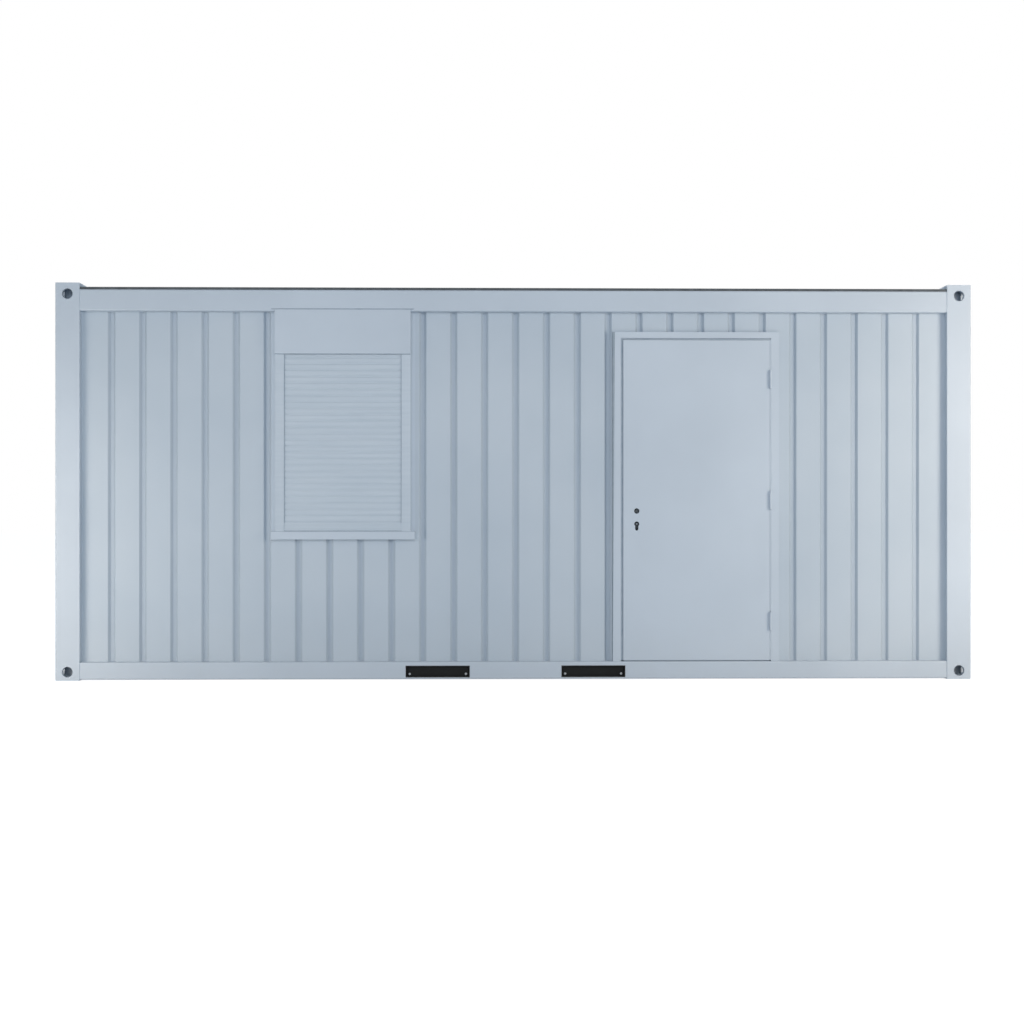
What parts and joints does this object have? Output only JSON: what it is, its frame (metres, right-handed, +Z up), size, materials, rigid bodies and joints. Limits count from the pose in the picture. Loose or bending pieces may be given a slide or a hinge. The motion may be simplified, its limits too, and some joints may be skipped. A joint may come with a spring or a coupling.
{
  "type": "modular office container",
  "caption": "Modular site office container with profiled steel walls, a hinged steel door, a window behind a closed roller shutter and covered fork pockets.",
  "frame": {"origin": "middle of the footprint, at the underside of the bottom corner castings", "axes": "+X to the right along the front long side, +Y from the front to the rear, +Z up"},
  "size_m": [6.058, 2.438, 2.62],
  "materials": {
    "painted_steel": "light grey-blue enamel on primed sheet steel, semi-matt",
    "dark_trim": "near-black sealing strip, matt",
    "dark_steel": "black bitumen paint, matt",
    "galvanised_sheet": "hot-dip galvanised sheet with a fine spangle",
    "shutter_aluminium": "roll-formed aluminium slats, painted to match the walls",
    "window_plastic": "extruded white window plastic",
    "window_glass": "clear insulating glass",
    "lining_board": "white coated chipboard",
    "floor_covering": "grey flecked floor covering on chipboard",
    "insulation": "mineral wool",
    "lock_steel": "zinc-plated lock steel",
    "hinge_steel": "welded steel barrels painted with the door"
  },
  "bodies": {
    "container": {"top_corner_castings": "painted_steel", "bottom_casting_front_right": "painted_steel", "bottom_casting_front_left": "painted_steel", "bottom_castings_rear": "painted_steel", "corner_posts": "painted_steel", "top_long_rails": "painted_steel", "top_end_rails": "painted_steel", "bottom_long_rails": "painted_steel", "bottom_rail_bridges": "painted_steel", "bottom_end_rails": "painted_steel", "fork_pocket_left": "dark_steel", "fork_pocket_right": "dark_steel", "fork_pocket_covers": "dark_trim", "floor_bearers": "galvanised_sheet", "underfloor_sheet": "galvanised_sheet", "floor_panel": "floor_covering", "ceiling_panel": "lining_board", "roof_core": "insulation", "roof_sheet": "galvanised_sheet", "roof_end_fillers": "galvanised_sheet", "roof_edge_trims": "dark_trim", "front_wall_left": "painted_steel", "front_wall_under_window": "painted_steel", "front_wall_middle": "painted_steel", "front_wall_over_door": "painted_steel", "front_wall_right": "painted_steel", "rear_wall": "painted_steel", "end_walls": "painted_steel", "inner_linings": "lining_board", "window_frame": "painted_steel", "window_sash": "window_plastic", "window_glass": "window_glass", "window_sill": "painted_steel", "shutter_box": "painted_steel", "shutter_guides": "shutter_aluminium", "shutter_curtain": "shutter_aluminium", "shutter_end_bar": "shutter_aluminium", "door_jamb_left": "painted_steel", "door_jamb_right": "painted_steel", "door_head": "painted_steel", "door_threshold": "lock_steel", "door_hinge_posts": "hinge_steel"},
    "door": {"door_leaf": "painted_steel", "door_lock": "lock_steel", "door_hinge_knuckles": "hinge_steel"}
  },
  "joints": [
    {"name": "door_hinge", "type": "hinge", "parent": "container", "child": "door", "pos_m": [1.695, -1.205, 1.189], "axis": [0, 0, 1], "range_deg": [0, 110]}
  ]
}
